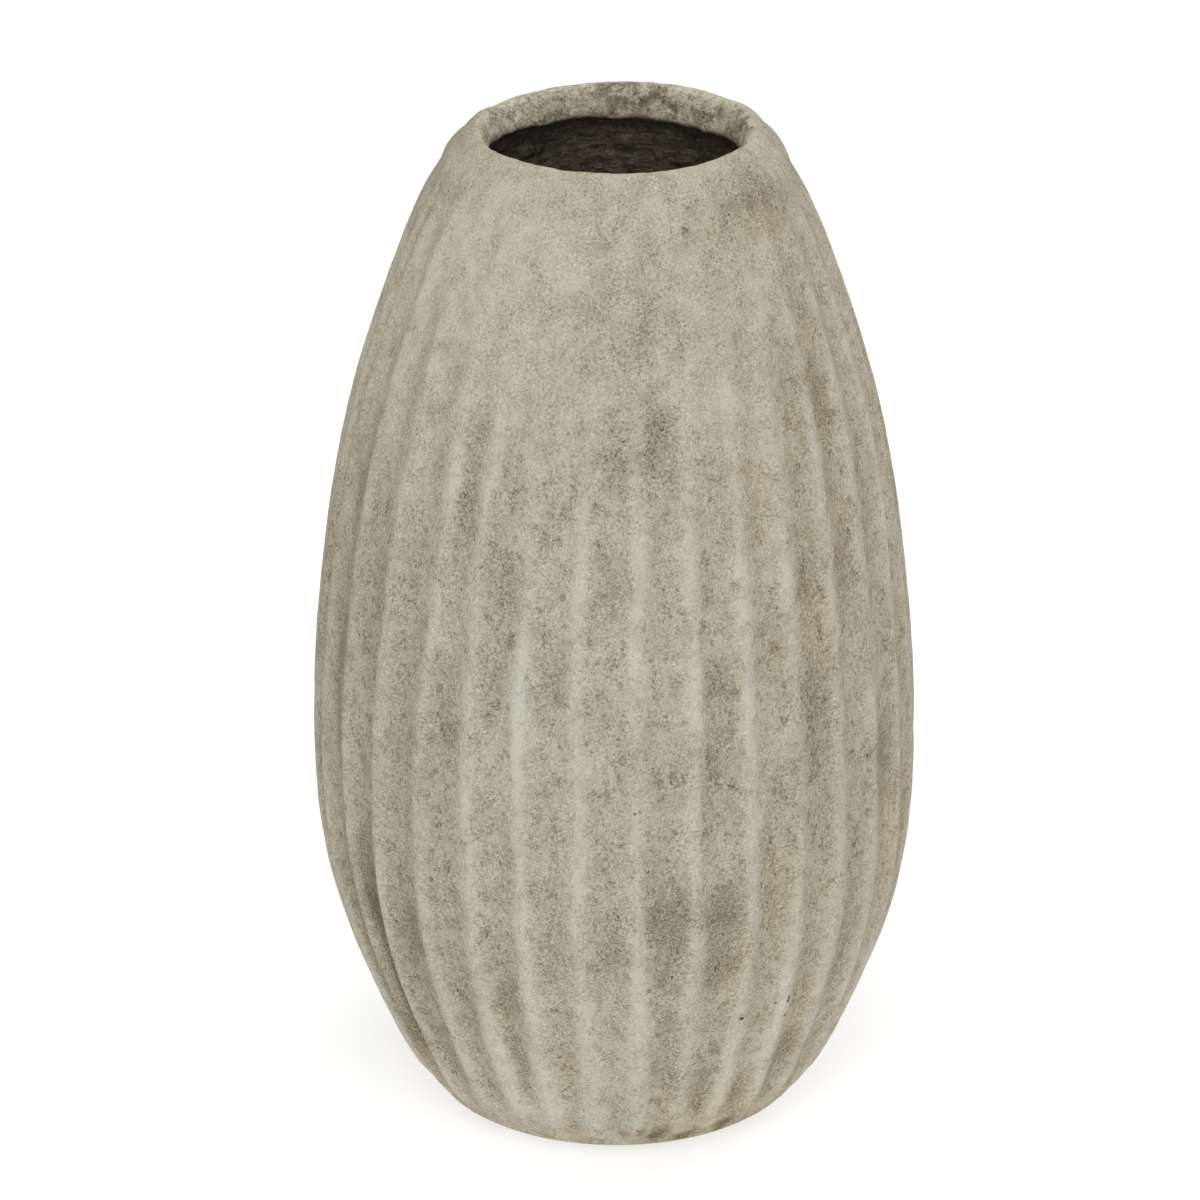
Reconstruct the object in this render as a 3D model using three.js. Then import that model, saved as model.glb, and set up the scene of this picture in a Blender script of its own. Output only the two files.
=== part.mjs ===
// Ovoid fluted vase of sand-finished clay: a fluted wall, a rolled lip luted on
// top of it, a floor slab let into the foot, a clay roll in the inside corner,
// a dark seal coat inside and four felt pads underneath.
// Millimetres, +Z up. The origin is on the vase's axis, on the plane it stands on.
// Azimuth is measured from the front (-Y), positive towards +X.

import * as THREE from 'three';
import { mergeVertices } from 'three/addons/utils/BufferGeometryUtils.js';

// ---------------------------------------------------------------- dimensions

const JOINT = 0.3;              // luted joint or glue line between two members

// felt pads
const PAD_THICKNESS = 2.0;
const PAD_RADIUS = 8.0;
const PAD_CIRCLE_RADIUS = 33.0;
const PAD_SIDES = 24;

// the clay vessel
const CLAY_BOTTOM = PAD_THICKNESS + JOINT;
const TOTAL_HEIGHT = 300.0;
const CLAY_HEIGHT = TOTAL_HEIGHT - CLAY_BOTTOM;

// outside of the wall over the ridges: [height / clay height, radius / clay height]
const OUTLINE = [
  [0.0000, 0.1747],
  [0.0022, 0.1817],
  [0.0060, 0.1860],
  [0.0120, 0.1915],
  [0.0300, 0.2048],
  [0.0550, 0.2202],
  [0.0900, 0.2371],
  [0.1400, 0.2572],
  [0.2000, 0.2766],
  [0.2800, 0.2929],
  [0.3700, 0.2976],
  [0.4600, 0.2948],
  [0.5500, 0.2858],
  [0.6400, 0.2730],
  [0.7300, 0.2543],
  [0.8100, 0.2311],
  [0.8800, 0.2061],
  [0.9400, 0.1788],
  [0.9570, 0.1690],
  [0.9750, 0.1599],
];

// flutes
const FLUTE_DEPTH = 1.9;        // ridge to trough at the belly
const FLUTE_FULL_FROM = 0.10;   // shares of the clay height
const FLUTE_FADES_FROM = 0.70;
const FLUTE_GONE_AT = 0.93;
const FLUTE_DEPTH_AT_FOOT = 0.35; // share of the full depth left at the foot
// ridges in front, degrees; the ones behind are spaced evenly between the ends
const FRONT_RIDGES = [-73.9, -62.5, -51.6, -39.3, -28.7, -18.1, -7.0, 4.0, 15.0, 26.0, 36.8, 47.7, 58.9, 70.3, 80.5];
const RIDGE_COUNT = 34;
const STEPS_PER_FLUTE = 4;
const RIDGE_BOW = 2.0;          // degrees that the ridges lean at the top and the foot

// wall
const WALL = 7.8;               // belly, measured from the ridges
const WALL_TOP = 0.9540;        // level cut that carries the lip

// lip, in millimetres down from its crest: [down, radius]
const LIP_OUTER = [
  [13.40, 50.50],
  [10.30, 49.15],
  [7.40, 47.60],
  [4.60, 45.60],
  [2.20, 43.20],
  [0.70, 41.30],
  [0.00, 39.35],
];
const LIP_INNER = [
  [0.55, 37.95],
  [2.00, 36.95],
  [4.60, 36.15],
  [7.40, 35.55],
  [9.00, 35.75],
  [10.40, 37.60],
  [13.40, 43.60],
];

// floor
const SLAB_RADIUS = 46.0;
const SLAB_THICKNESS = 8.5;

// corner roll
const ROLL_HEIGHT = 13.0;
const ROLL_REACH = 12.0;

// seal coat
const COAT = 1.2;
const COAT_TOP = 0.9480;

const ROUND_SIDES = 48;

// ---------------------------------------------------------------- helpers

const smooth = (a, b, x) => {
  const t = Math.min(1, Math.max(0, (x - a) / (b - a)));
  return t * t * (3 - 2 * t);
};

// smooth curve through the outline's points, no overshoot
function outlineRadius(h) {
  const p = OUTLINE;
  const last = p.length - 1;
  if (h <= p[0][0]) return p[0][1];
  if (h >= p[last][0]) {
    const s = (p[last][1] - p[last - 1][1]) / (p[last][0] - p[last - 1][0]);
    return p[last][1] + s * (h - p[last][0]);
  }
  let i = 0;
  while (h > p[i + 1][0]) i++;
  const slope = (k) => {
    if (k === 0) return (p[1][1] - p[0][1]) / (p[1][0] - p[0][0]);
    if (k === last) return (p[last][1] - p[last - 1][1]) / (p[last][0] - p[last - 1][0]);
    const d0 = (p[k][1] - p[k - 1][1]) / (p[k][0] - p[k - 1][0]);
    const d1 = (p[k + 1][1] - p[k][1]) / (p[k + 1][0] - p[k][0]);
    return d0 * d1 <= 0 ? 0 : (2 * d0 * d1) / (d0 + d1);
  };
  const w = p[i + 1][0] - p[i][0];
  const t = (h - p[i][0]) / w;
  const m0 = slope(i) * w;
  const m1 = slope(i + 1) * w;
  return (2 * t ** 3 - 3 * t ** 2 + 1) * p[i][1] + (t ** 3 - 2 * t ** 2 + t) * m0
    + (-2 * t ** 3 + 3 * t ** 2) * p[i + 1][1] + (t ** 3 - t ** 2) * m1;
}

const level = (h) => CLAY_BOTTOM + h * CLAY_HEIGHT;
const outside = (h) => outlineRadius(h) * CLAY_HEIGHT;

function fluteDepth(h) {
  const low = FLUTE_DEPTH_AT_FOOT + (1 - FLUTE_DEPTH_AT_FOOT) * smooth(0, FLUTE_FULL_FROM, h);
  const high = 1 - smooth(FLUTE_FADES_FROM, FLUTE_GONE_AT, h);
  return h <= 0.004 ? 0 : FLUTE_DEPTH * low * high;
}

// turns a closed lathe profile, [radius, z] pairs going up the outside and down
// the inside, into geometry standing on +Z, with its first side facing the front
function turned(profile, sides) {
  const points = profile.map(([r, z]) => new THREE.Vector2(r, z));
  const geometry = new THREE.LatheGeometry(points, sides);
  geometry.rotateX(Math.PI / 2);
  return geometry;
}

// one closed skin with shared corners
function closed(geometry) {
  geometry.deleteAttribute('normal');
  geometry.deleteAttribute('uv');
  const merged = mergeVertices(geometry, 1e-4);
  const index = merged.getIndex().array;
  const kept = [];
  for (let i = 0; i < index.length; i += 3) {
    const [a, b, c] = [index[i], index[i + 1], index[i + 2]];
    if (a !== b && b !== c && c !== a) kept.push(a, b, c);
  }
  merged.setIndex(kept);
  merged.computeVertexNormals();
  return merged;
}

// ---------------------------------------------------------------- fluted wall

// azimuths of all the ridges, in turning order from the first one in front
const ridges = [...FRONT_RIDGES];
{
  const from = FRONT_RIDGES[FRONT_RIDGES.length - 1];
  const to = FRONT_RIDGES[0] + 360;
  const behind = RIDGE_COUNT - FRONT_RIDGES.length;
  for (let i = 1; i <= behind; i++) ridges.push(from + ((to - from) * i) / (behind + 1));
}

// inside of the wall, from the cut under the lip down to the floor
const floorTop = CLAY_BOTTOM + SLAB_THICKNESS;
const INSIDE_SHARES = [WALL_TOP, 0.88, 0.78, 0.65, 0.51, 0.37, 0.25, 0.16, 0.095];
const insideRadius = (h) => outside(h) - WALL * (1 + 0.12 * smooth(0.25, 0.05, h));
const rebateTop = floorTop + JOINT;
const floorShare = (rebateTop - CLAY_BOTTOM) / CLAY_HEIGHT;
const insideRows = INSIDE_SHARES.map((h) => [insideRadius(h), level(h)]);
const cornerRadius = insideRadius(floorShare);

const OUTSIDE_SHARES = [0.0, 0.0022, 0.009, 0.03, 0.065, 0.115, 0.18, 0.27, 0.37, 0.48, 0.59, 0.69, 0.77, 0.84, 0.90, WALL_TOP];

function flutedWall() {
  const outer = OUTSIDE_SHARES.map((h) => [outside(h), level(h)]);
  const profile = [
    [SLAB_RADIUS + JOINT, CLAY_BOTTOM],
    ...outer,
    ...insideRows,
    [cornerRadius, rebateTop],
    [SLAB_RADIUS + JOINT, rebateTop],
    [SLAB_RADIUS + JOINT, CLAY_BOTTOM],
  ];
  const sides = RIDGE_COUNT * STEPS_PER_FLUTE;
  const geometry = turned(profile, sides);
  const position = geometry.getAttribute('position');
  // a scallop between two ridges: full depth in the middle
  const scallop = (t) => 1 - (2 * t - 1) ** 2;
  for (let side = 0; side <= sides; side++) {
    const flute = Math.floor(side / STEPS_PER_FLUTE) % RIDGE_COUNT;
    const t = (side % STEPS_PER_FLUTE) / STEPS_PER_FLUTE;
    const start = ridges[flute];
    const end = flute + 1 < RIDGE_COUNT ? ridges[flute + 1] : ridges[0] + 360;
    const azimuth = start + (end - start) * t;
    for (let row = 0; row < profile.length; row++) {
      const [radius, z] = profile[row];
      const isOuter = row >= 1 && row <= outer.length;
      const h = (z - CLAY_BOTTOM) / CLAY_HEIGHT;
      const r = isOuter ? radius - fluteDepth(h) * scallop(t) : radius;
      const bow = isOuter ? RIDGE_BOW * ((h - 0.45) / 0.45) ** 2 : RIDGE_BOW * 0.3;
      const a = THREE.MathUtils.degToRad(azimuth + bow);
      position.setXYZ(side * profile.length + row, r * Math.sin(a), -r * Math.cos(a), z);
    }
  }
  return closed(geometry);
}

// ---------------------------------------------------------------- other members

function lipCoil() {
  const at = ([down, r]) => [r, TOTAL_HEIGHT - down];
  const profile = [...LIP_OUTER.map(at), ...LIP_INNER.map(at), at(LIP_OUTER[0])];
  return closed(turned(profile, ROUND_SIDES));
}

function baseSlab() {
  const z0 = CLAY_BOTTOM;
  const z1 = floorTop;
  return closed(turned([[0, z0], [SLAB_RADIUS, z0], [SLAB_RADIUS, z1], [0, z1]], ROUND_SIDES));
}

// inside line of the wall between two of its rows, as the wall's facets run
function wallInsideAt(z) {
  const rows = [...insideRows, [cornerRadius, rebateTop]];
  for (let i = 0; i + 1 < rows.length; i++) {
    const [r0, z0] = rows[i];
    const [r1, z1] = rows[i + 1];
    if (z <= z0 && z >= z1) return r1 + ((r0 - r1) * (z - z1)) / (z0 - z1);
  }
  return rows[0][0];
}

// the roll's face is hollow, from the floor up to the wall
const rollBottom = rebateTop + JOINT;
const rollFoot = wallInsideAt(rollBottom) - JOINT - ROLL_REACH;
const rollFace = [];
{
  const corner = new THREE.Vector2(wallInsideAt(rollBottom) - JOINT, rollBottom);
  const top = rollBottom + ROLL_HEIGHT;
  const from = new THREE.Vector2(rollFoot, rollBottom + 1.0);
  const to = new THREE.Vector2(wallInsideAt(top) - JOINT - 1.0, top);
  const middle = from.clone().add(to).multiplyScalar(0.5).lerp(corner, 0.55);
  const curve = new THREE.QuadraticBezierCurve(from, middle, to);
  for (const p of curve.getPoints(4)) rollFace.push([p.x, p.y]);
}

function seamCoil() {
  const [topRadius, top] = rollFace[rollFace.length - 1];
  const level95 = level(0.095);
  const back = [[wallInsideAt(rollBottom) - JOINT, rollBottom]];
  if (level95 > rollBottom && level95 < top) back.push([wallInsideAt(level95) - JOINT, level95]);
  back.push([wallInsideAt(top) - JOINT, top]);
  const face = [...rollFace].reverse();
  const profile = [...back, ...face, [rollFoot, rollBottom], back[0]];
  return closed(turned(profile, ROUND_SIDES));
}

function innerSealCoat() {
  // back of the coat: over the floor, up the roll's face, then up the wall
  const back = [[0, floorTop + JOINT], [rollFoot - JOINT - 0.6, floorTop + JOINT]];
  for (const [r, z] of rollFace) back.push([r - JOINT - 0.15, z + 0.15]);
  const top = rollFace[rollFace.length - 1][1];
  for (const h of [...INSIDE_SHARES].reverse()) {
    if (level(h) > top + 4 && h < COAT_TOP) back.push([wallInsideAt(level(h)) - JOINT, level(h)]);
  }
  back.push([wallInsideAt(level(COAT_TOP)) - JOINT, level(COAT_TOP)]);
  // face of the coat, COAT away from the back along its normal
  const face = back.map((p, i) => {
    const a = back[Math.max(0, i - 1)];
    const b = back[Math.min(back.length - 1, i + 1)];
    const dr = b[0] - a[0];
    const dz = b[1] - a[1];
    const n = Math.hypot(dr, dz);
    return [Math.max(0, p[0] - (COAT * dz) / n), p[1] + (COAT * dr) / n];
  });
  face[0] = [0, back[0][1] + COAT];
  face[face.length - 1] = [back[back.length - 1][0] - COAT, back[back.length - 1][1]];
  return closed(turned([...back, ...face.reverse()], ROUND_SIDES));
}

function feltPad() {
  const bevel = 0.3;
  const r = PAD_RADIUS;
  const t = PAD_THICKNESS;
  return closed(turned([[0, 0], [r - bevel, 0], [r, bevel], [r, t], [0, t]], PAD_SIDES));
}

// ---------------------------------------------------------------- materials

const clay = () => new THREE.MeshStandardMaterial({ color: 0xb0aa98, roughness: 0.95, metalness: 0 });
const rawClay = () => new THREE.MeshStandardMaterial({ color: 0xa59c86, roughness: 0.95, metalness: 0 });
const seal = () => new THREE.MeshStandardMaterial({ color: 0x4a4439, roughness: 0.8, metalness: 0 });
const felt = () => new THREE.MeshStandardMaterial({ color: 0x5b5852, roughness: 1.0, metalness: 0 });

// ---------------------------------------------------------------- the vase

const vase = new THREE.Group();

function add(parent, name, geometry, material) {
  const mesh = new THREE.Mesh(geometry, material);
  mesh.name = name;
  parent.add(mesh);
  return mesh;
}

add(vase, 'fluted_wall', flutedWall(), clay());
add(vase, 'lip_coil', lipCoil(), clay());
add(vase, 'base_slab', baseSlab(), rawClay());
add(vase, 'seam_coil', seamCoil(), rawClay());
add(vase, 'inner_seal_coat', innerSealCoat(), seal());

const pads = new THREE.Group();
for (let i = 0; i < 4; i++) {
  const a = THREE.MathUtils.degToRad(45 + 90 * i);
  const pad = add(pads, `felt_pad_${i + 1}`, feltPad(), felt());
  pad.position.set(PAD_CIRCLE_RADIUS * Math.cos(a), PAD_CIRCLE_RADIUS * Math.sin(a), 0);
}
vase.add(pads);

export default vase;
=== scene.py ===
import math

import bpy
import numpy as np
from mathutils import Matrix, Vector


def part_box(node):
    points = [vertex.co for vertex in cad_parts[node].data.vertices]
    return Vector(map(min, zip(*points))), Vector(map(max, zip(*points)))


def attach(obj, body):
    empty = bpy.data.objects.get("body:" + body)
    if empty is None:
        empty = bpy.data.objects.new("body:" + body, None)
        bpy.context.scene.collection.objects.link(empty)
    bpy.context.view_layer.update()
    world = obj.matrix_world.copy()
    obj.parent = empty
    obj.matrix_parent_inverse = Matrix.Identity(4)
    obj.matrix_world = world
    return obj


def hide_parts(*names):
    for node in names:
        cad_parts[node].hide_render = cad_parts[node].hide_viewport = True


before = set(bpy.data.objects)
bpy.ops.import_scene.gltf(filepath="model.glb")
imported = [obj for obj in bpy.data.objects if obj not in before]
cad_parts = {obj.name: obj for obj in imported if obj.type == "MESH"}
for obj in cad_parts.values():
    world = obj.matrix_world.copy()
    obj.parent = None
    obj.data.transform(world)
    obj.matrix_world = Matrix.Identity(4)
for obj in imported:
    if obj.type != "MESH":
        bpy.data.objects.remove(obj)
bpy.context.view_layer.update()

# ------------------------------------------------------------------ sizes, mm
MM = 0.001
CLAY0 = 2.3                     # underside of the clay, on top of the pads
TOTAL = 300.0
CLAY_H = TOTAL - CLAY0
JOINT_Z = 286.45                # where the lip is luted on the wall
LIP_DROP = 0.80                 # the lip's mean crest is this far under its highest lump
PX = (CLAY_H - LIP_DROP) / 1018.1   # one pixel of the 1200 frame at the vase's axis

# outside over the ridges: share of the clay height, share as radius
OUTLINE = [
    (0.0300, 0.2064), (0.0550, 0.2211), (0.0900, 0.2371), (0.1400, 0.2572),
    (0.2000, 0.2766), (0.2800, 0.2925), (0.3700, 0.2970), (0.4600, 0.2943),
    (0.5500, 0.2855), (0.6400, 0.2730), (0.7300, 0.2543), (0.8100, 0.2307),
    (0.8800, 0.2061), (0.9400, 0.1788), (0.9570, 0.1690), (0.9750, 0.1599),
]
FOOT = [(52.0, 2.30), (53.45, 2.52), (54.60, 3.25), (55.75, 4.35), (57.00, 5.85)]
LIP_OUT = [(44.95, 295.60), (42.95, 298.00), (41.30, 299.35), (39.35, 300.00)]
LIP_IN = [(37.95, 299.45), (36.95, 298.00), (36.15, 295.40), (35.55, 292.60),
          (35.75, 291.00), (37.60, 289.60), (40.60, 288.00), (43.60, 286.45)]

# ridges in front, degrees from the front, positive towards +X
LIP_OUT = [(r, z - LIP_DROP) for r, z in LIP_OUT]
LIP_IN = [(r, z - LIP_DROP * min(1.0, (z - JOINT_Z) / 4)) for r, z in LIP_IN]

FRONT_RIDGES = [-72.0, -59.9, -49.5, -38.7, -28.2, -17.6, -6.8, 4.0, 15.0, 26.2,
                36.5, 47.0, 57.6, 68.3, 78.6]
RIDGES = 34
FLUTE_DEPTH = 1.9
RIDGE_BOW = 2.0
STEPS = [0.0, 0.036, 0.09, 0.17, 0.275, 0.387, 0.5, 0.613, 0.725, 0.83, 0.91, 0.964]


# ------------------------------------------------------------------ numbers
def smooth(a, b, x):
    t = np.clip((np.asarray(x, float) - a) / (b - a), 0, 1)
    return t * t * (3 - 2 * t)


def spline(xs, ys):
    """Natural cubic through the points."""
    xs, ys = np.asarray(xs, float), np.asarray(ys, float)
    n, h = len(xs), np.diff(xs)
    a, b = np.eye(n), np.zeros(n)
    for i in range(1, n - 1):
        a[i, i - 1], a[i, i], a[i, i + 1] = h[i - 1], 2 * (h[i - 1] + h[i]), h[i]
        b[i] = 6 * ((ys[i + 1] - ys[i]) / h[i] - (ys[i] - ys[i - 1]) / h[i - 1])
    m = np.linalg.solve(a, b)

    def f(x):
        x = np.asarray(x, float)
        i = np.clip(np.searchsorted(xs, x) - 1, 0, n - 2)
        d, u, v = h[i], xs[i + 1] - x, x - xs[i]
        return ((m[i] * u**3 + m[i + 1] * v**3) / (6 * d)
                + (ys[i] / d - m[i] * d / 6) * u + (ys[i + 1] / d - m[i + 1] * d / 6) * v)
    return f


def _hash(ix, iy, iz, seed):
    n = (ix.astype(np.int64) * 374761393 + iy.astype(np.int64) * 668265263
         + iz.astype(np.int64) * 2147483647 + seed * 1274126177) & 0xFFFFFFFF
    n = ((n ^ (n >> 13)) * 1274126177) & 0xFFFFFFFF
    n = ((n ^ (n >> 16)) * 2246822519) & 0xFFFFFFFF
    return ((n ^ (n >> 15)) & 0xFFFFFF) / float(0xFFFFFF) * 2 - 1


def noise(p, size, seed, octaves=1, gain=0.5):
    """Smooth random field, about -1 to 1, with lumps of the given size in mm."""
    out, amp, tot = 0.0, 1.0, 0.0
    for o in range(octaves):
        q = p / size + 37.17 * (o + 1)
        i = np.floor(q)
        f = q - i
        f = f * f * f * (f * (f * 6 - 15) + 10)
        i = i.astype(np.int64)
        acc = 0.0
        for dx in (0, 1):
            wx = f[..., 0] if dx else 1 - f[..., 0]
            for dy in (0, 1):
                wy = f[..., 1] if dy else 1 - f[..., 1]
                for dz in (0, 1):
                    wz = f[..., 2] if dz else 1 - f[..., 2]
                    acc = acc + wx * wy * wz * _hash(i[..., 0] + dx, i[..., 1] + dy, i[..., 2] + dz, seed + 101 * o)
        out = out + amp * acc
        tot += amp
        amp *= gain
        size *= 0.5
    return out / tot


def along(points, step):
    """Points evenly spaced, step mm apart, on a smooth curve through the given (radius, z) points."""
    p = np.array(points, float)
    s = np.concatenate([[0], np.cumsum(np.hypot(*np.diff(p, axis=0).T))])
    fr, fz = spline(s, p[:, 0]), spline(s, p[:, 1])
    fine = np.linspace(0, s[-1], 6000)
    q = np.stack([fr(fine), fz(fine)], 1)
    t = np.concatenate([[0], np.cumsum(np.hypot(*np.diff(q, axis=0).T))])
    n = max(2, int(round(t[-1] / step)) + 1)
    want = np.linspace(0, t[-1], n)
    return np.stack([np.interp(want, t, q[:, 0]), np.interp(want, t, q[:, 1])], 1)


def straight(a, b, n):
    """n points between a and b, ends left out."""
    t = (np.arange(n) + 1.0) / (n + 1)
    return np.array(a) + (np.array(b) - np.array(a)) * t[:, None]


# ------------------------------------------------------------------ ridges
ridge_az = list(FRONT_RIDGES)
behind = RIDGES - len(FRONT_RIDGES)
for i in range(behind):
    a0, a1 = FRONT_RIDGES[-1], FRONT_RIDGES[0] + 360
    jitter = 0.9 * math.sin(12.9898 * (i + 1)) * math.cos(4.1 * (i + 2))
    ridge_az.append(a0 + (a1 - a0) * (i + 1) / (behind + 1) + jitter)
ridge_az = np.array(ridge_az)


# how far each front ridge wanders sideways, degrees, at these shares of the height
WANDER_H = [0.05, 0.20, 0.36, 0.52, 0.68, 0.84, 0.95]
WANDER = np.zeros((RIDGES, len(WANDER_H)))
WANDER[:15] = [
    [-1.2, -1.1, -1.7, -2.2, -2.6, -2.6, -2.1], [-0.6, -1.3, -2.4, -2.5, -2.9, -2.8, -2.0], [-3.2, -3.6, -2.1, -1.5, -0.9, -1.6, -0.9],
    [-2.0, -2.2, -1.4, 0.1, 1.2, 0.4, 0.5], [-1.0, -1.1, -0.4, -0.4, 0.0, -0.5, -0.7], [-1.3, -1.0, -0.4, -0.9, 0.2, -0.1, -0.2],
    [-0.4, -0.6, 0.1, -0.3, -0.2, -0.2, -0.1], [-0.5, -0.4, 0.2, -0.3, 0.0, 0.8, 1.0], [-0.7, -0.3, 0.2, 0.6, -0.1, 0.0, 0.0],
    [-1.0, -0.2, 0.0, 0.0, -0.3, -0.1, 0.0], [0.4, -0.1, 0.5, 0.5, 0.0, 0.3, 0.4], [0.6, 0.2, 0.7, 0.4, 0.7, 1.5, 1.5],
    [2.6, 1.2, 0.9, 0.9, 1.3, 2.9, 2.6], [0.9, 2.5, 1.3, 1.4, 3.7, 3.8, 3.8], [0.5, 1.5, 1.6, 1.8, 2.8, 3.4, 3.4],
]


def wander(k, h):
    """Sideways drift of ridge k up its height, degrees."""
    last = len(WANDER_H) - 1
    x = np.interp(h, WANDER_H, np.arange(last + 1.0))
    i = np.clip(np.floor(x).astype(int), 0, last - 1)
    f = x - i
    a, b, c, d = (WANDER[k, np.clip(i + o, 0, last)] for o in (-1, 0, 1, 2))
    curve = b + 0.5 * f * (c - a + f * (2 * a - 5 * b + 4 * c - d + f * (3 * (b - c) + d - a)))
    p = np.stack(np.broadcast_arrays(h * 9.0, k * 7.31 + 0.5, 0.5 + 0 * h), -1)
    return curve + np.where(k < 15, 0.22, 0.5) * noise(p, 1.0, 11)


def ridge_at(k, h):
    return ridge_az[k % RIDGES] + 360 * (k // RIDGES) + RIDGE_BOW * ((h - 0.45) / 0.45) ** 2 + wander(k % RIDGES, h)


def columns():
    """The flute and the place across it of every column."""
    k = np.repeat(np.arange(RIDGES), len(STEPS))
    t = np.tile(np.array(STEPS), RIDGES)
    return k, t


def azimuths(k, t, h):
    """Azimuth in degrees of columns (k, t) at heights h; all broadcast."""
    a = ridge_at(k, h)
    b = ridge_at(k + 1, h)
    return a + (b - a) * t, b - a


def flute_presence(h, az):
    """How much of the full fluting there is, 0 to 1."""
    w = (az + 180) % 360 - 180
    side = smooth(18, 62, np.abs(w))
    back = np.abs(w) > 95
    p = np.stack([np.cos(np.radians(w)) * 1.3, np.sin(np.radians(w)) * 1.3, 0.3 + 0 * w], -1)
    side = np.where(back, 0.75 + 0.5 * noise(p, 0.8, 21), side)
    top0 = 0.60 + 0.21 * side
    top1 = 0.92 + 0.10 * side
    t = np.clip((h - top0) / (top1 - top0), 0, 1)
    high = 1 - t * t * (3 - 2 * t)
    low = 0.25 + 0.75 * smooth(0.004, 0.075, h)
    return high * low


def per_ridge(k, h, rate, seed):
    """A random number, -1 to 1, that changes along each ridge in its own way."""
    p = np.stack(np.broadcast_arrays(h * rate, (k % RIDGES) * 7.77 + 0.5, 0.5 + 0 * h), -1)
    return noise(p, 1.0, seed)


def outer_relief(base, h, k, t, az, pitch_deg):
    """Offset along the outward normal, mm, and the masks, for points on the outside."""
    pitch = np.radians(pitch_deg) * np.hypot(base[..., 0], base[..., 1])
    w = np.minimum(t, 1 - t) * pitch                # distance to the nearest ridge, mm
    turn = (az + 180) % 360 - 180
    left = smooth(-31, -44, turn) * (1 - smooth(95, 120, np.abs(turn)))
    keen = smooth(-44, -51, turn) * left * (1 - smooth(0.28, 0.42, h))      # ridges low on the far left are crisper
    rho = (1.08 + 0.35 * noise(base * np.array([1, 1, 0.4]), 22.0, 31)) * (1 - 0.60 * keen)
    q = 1 - (np.sqrt(w * w + rho * rho) - rho) * 2 / pitch
    s = 1 - np.clip(q, 0, 1) ** 2
    vary = 1 + 0.16 * noise(np.stack(np.broadcast_arrays(h * 3.1, k * 5.77, 0.5 + 0 * h), -1), 1.0, 41)
    pres = flute_presence(h, az)
    deeper = 1 - 0.06 * smooth(-30, -56, turn) * (1 - smooth(95, 120, np.abs(turn))) + 0.30 * keen
    depth = FLUTE_DEPTH * vary * pres * deeper
    off = -depth * s
    # hand-made unevenness, coarse to fine
    off = off + 0.20 * noise(base * np.array([1, 1, 0.7]), 46.0, 51) - 0.16
    off = off + 0.16 * noise(base, 13.0, 61, 2)
    off = off + 0.075 * noise(base, 4.2, 71, 2)
    # the rubbed band along a ridge wanders, widens and comes and goes
    near = np.where(t < 0.5, k, k + 1)
    side = np.where(t < 0.5, t, t - 1) * pitch
    side = side + 0.60 * noise(base, 6.0, 48, 2)
    mid = 0.75 * per_ridge(near, h, 9.0, 43)
    wide = 2.45 * (1 + 0.34 * per_ridge(near, h, 8.0, 44) + 0.16 * per_ridge(near, h, 22.0, 45))
    much = 0.84 + 0.40 * per_ridge(near, h, 7.0, 46) + 0.30 * per_ridge(near, h, 19.0, 47)
    mid = mid + 1.3 * left - 0.8 * keen
    wide = wide * (1 + 0.30 * left + 0.28 * (1 - smooth(0.16, 0.36, h))) * (1 - 0.30 * keen)
    much = much * (1 - 0.45 * left + 0.40 * keen) * (1 - 0.35 * smooth(0.62, 0.80, h) * smooth(26, 40, turn))
    much = much * (1 - 0.6 * np.exp(-((turn + 59) / 8.0) ** 2 - ((h - 0.088) / 0.042) ** 2))
    crest = np.clip(much, 0.12, 1.4) * np.exp(-np.abs((side - mid) / (1.04 * wide)) ** 2.9) * smooth(0.0, 0.85, pres)
    crest = crest * (1 - keen * (1 - smooth(-1.7, 0.3, side)))
    return off, crest, pres


# centre line's sideways drift, mm: (z, x)
DRIFT = spline([0, 12, 30, 55, 85, 120, 160, 200, 240, 275, 300],
               [0.75, 0.88, 1.00, 0.95, 0.50, -0.05, -0.05, 0.10, 0.06, 0.08, 0.12])


# ------------------------------------------------------------------ meshes
def ring_mesh(name, verts, rows, cols, attrs=None, around=True, caps=None, row_v=None):
    """Quads over a rows by cols grid of vertices that closes on itself across the columns, and across the rows too if around.
    row_v, one more than the rows of quads, is each row's place up the bake map."""
    j = np.arange(rows if around else rows - 1)
    c = np.arange(cols)
    jj, cc = np.meshgrid(j, c, indexing="ij")
    j2, c2 = (jj + 1) % rows, (cc + 1) % cols
    quads = np.stack([jj * cols + cc, jj * cols + c2, j2 * cols + c2, j2 * cols + cc], -1).reshape(-1, 4)
    faces = quads.tolist()
    if caps:
        faces += caps
    me = bpy.data.meshes.new(name)
    me.from_pydata((verts * MM).tolist(), [], faces)
    me.update()
    me.validate()
    me.polygons.foreach_set("use_smooth", np.ones(len(me.polygons), bool))
    for key, val in (attrs or {}).items():
        at = me.attributes.new(key, "FLOAT", "POINT")
        at.data.foreach_set("value", np.ascontiguousarray(val, np.float32))
    if row_v is not None:
        v0, v1 = np.asarray(row_v)[jj], np.asarray(row_v)[jj + 1]
        u0, u1 = (cc + 0.0) / cols, (cc + 1.0) / cols
        corner = np.stack([np.stack([u0, v0], -1), np.stack([u1, v0], -1), np.stack([u1, v1], -1), np.stack([u0, v1], -1)], 2)
        flat_uv = corner.reshape(-1, 2) * 0.985 + 0.0075
        layer = me.uv_layers.new(name="OFBake")
        layer.data.foreach_set("uv", np.ascontiguousarray(flat_uv, np.float32).ravel())
    me.set_sharp_from_angle(angle=math.radians(48))
    ob = bpy.data.objects.new(name, me)
    bpy.context.scene.collection.objects.link(ob)
    return ob


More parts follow.
